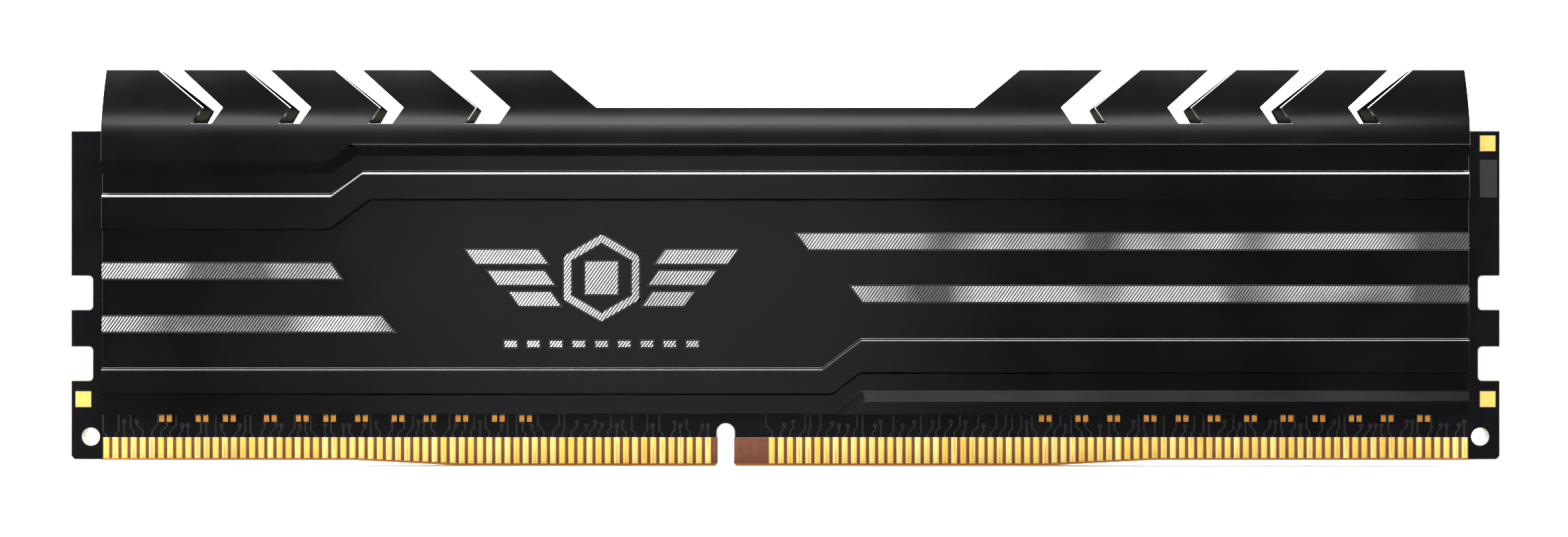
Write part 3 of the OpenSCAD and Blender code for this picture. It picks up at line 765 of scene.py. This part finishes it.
def bright_trim():
    """Ruled strips and emblem on both spreaders, each with a thin dark border of painted shade round it."""
    strips = {number: strip_outline(number) for number in STRIP_SLANTS}
    emblem = emblem_outlines()
    points, faces = trim_borders(np.concatenate([*strips.values(), emblem]))
    for side in ("front", "rear"):
        turned = side == "rear"
        for number, outline in strips.items():
            name = "%s_%d" % (side, number)
            ruled_piece("ruled_strip_" + name, "bright_strip_" + name, outline, turned)
        ruled_piece("ruled_emblem_" + side, "emblem_" + side, emblem, turned, EMBLEM_METAL)
        piece("trim_borders_" + side, half_turn(points) if turned else points, faces, SHADE_OUTLINE_BLACK)


# ---------------------------------------------------------------- stage, light and camera

LENS_MM = 65
SENSOR_MM = 36
VIEW_W = BOARD_L * 1.0993
EYE_X = -0.14
EYE_Z = 18.37
STAGE_HALF_W = 3000
WORLD_STRENGTH = 0.012


def stage_piece(name, y, z, finish, glossy):
    """A sheet across the stage along a profile of (y, z), seen in glossy reflections or left out."""
    x = np.tile([-STAGE_HALF_W, STAGE_HALF_W], len(y))
    points = np.stack([x, np.repeat(y, 2), np.repeat(z, 2)], axis=1)
    mesh = bpy.data.meshes.new(name)
    mesh.from_pydata((points * MM).tolist(), [], grid_quads(len(y), 2).tolist())
    mesh.materials.append(finish)
    mesh.polygons.foreach_set("use_smooth", np.ones(len(mesh.polygons), bool))
    obj = bpy.data.objects.new(name, mesh)
    bpy.context.scene.collection.objects.link(obj)
    obj.visible_glossy = glossy


def studio_sweep():
    """A flat floor, then a wall that curves up from it by a quarter round."""
    pale = Finish("pale_floor", (0.86, 0.86, 0.86), 0.7)
    pale.color(pale.mix(pale.noise(0.01, 2), (0.85, 0.85, 0.85), (0.87, 0.87, 0.87)))
    bend = np.linspace(0, math.pi / 2, 24)
    radius, depth, height = 200, 500, 900
    stage_piece("studio_floor", np.array([-2500, depth]), np.array([0, 0]), pale.material, False)
    stage_piece("studio_wall", np.append(depth + radius * np.sin(bend), depth + radius),
                np.append(radius * (1 - np.cos(bend)), height), pale.material, True)


def softbox(name, place, target, size, watts, spread=180):
    """A rectangular lamp at place, turned to face target, both in millimetres; spread is in degrees."""
    lamp = bpy.data.lights.new(name, "AREA")
    lamp.shape = "RECTANGLE"
    lamp.size, lamp.size_y = size[0] * MM, size[1] * MM
    lamp.energy = watts
    lamp.spread = math.radians(spread)
    obj = bpy.data.objects.new(name, lamp)
    obj.location = Vector(place) * MM
    obj.rotation_euler = (Vector(target) - Vector(place)).to_track_quat("-Z", "Y").to_euler()
    bpy.context.scene.collection.objects.link(obj)


def studio_light():
    """Lamps above, in front and at both sides, one that whitens the wall, and a faint sky. A lamp near
    the vertical has its target straight before or behind it, so that its long side lies along X."""
    softbox("overhead", (-90, -12, 260), (-90, -10, 0), (460, 126), 2.3, 110)
    softbox("crest_line", (-90, -76, 262), (-90, -5, 25), (460, 30), 0.36, 110)
    softbox("high_front", (-20, -480, 262), (0, 0, 30), (380, 200), 0.125, 60)
    softbox("front_left", (-48, -700, 25), (-20, 0, 18), (190, 160), 0.052)
    softbox("side_left", (-360, -250, 80), (-20, 0, 18), (160, 130), 0.26, 70)
    softbox("side_right", (360, -250, 80), (20, 0, 18), (160, 130), 0.26, 70)
    softbox("wall_wash", (0, 220, 420), (0, 640, 150), (900, 160), 26)
    world = bpy.data.worlds.new("studio")
    world.use_nodes = True
    world.node_tree.nodes["Background"].inputs["Color"].default_value = (1, 1, 1, 1)
    world.node_tree.nodes["Background"].inputs["Strength"].default_value = WORLD_STRENGTH
    bpy.context.scene.world = world
    bpy.context.scene.view_settings.view_transform = "Standard"


def camera():
    """A level view of the front, VIEW_W wide at the module."""
    data = bpy.data.cameras.new("camera")
    data.lens = LENS_MM
    data.sensor_width = SENSOR_MM
    data.clip_start = 0.01
    obj = bpy.data.objects.new("camera", data)
    obj.location = Vector((EYE_X, -VIEW_W * LENS_MM / SENSOR_MM, EYE_Z)) * MM
    obj.rotation_euler = (math.pi / 2, 0, 0)
    bpy.context.scene.collection.objects.link(obj)
    bpy.context.scene.camera = obj


camera()
finish_cad_nodes()
heat_spreaders()
tracks("front")
tracks("rear")
bright_trim()
studio_sweep()
studio_light()
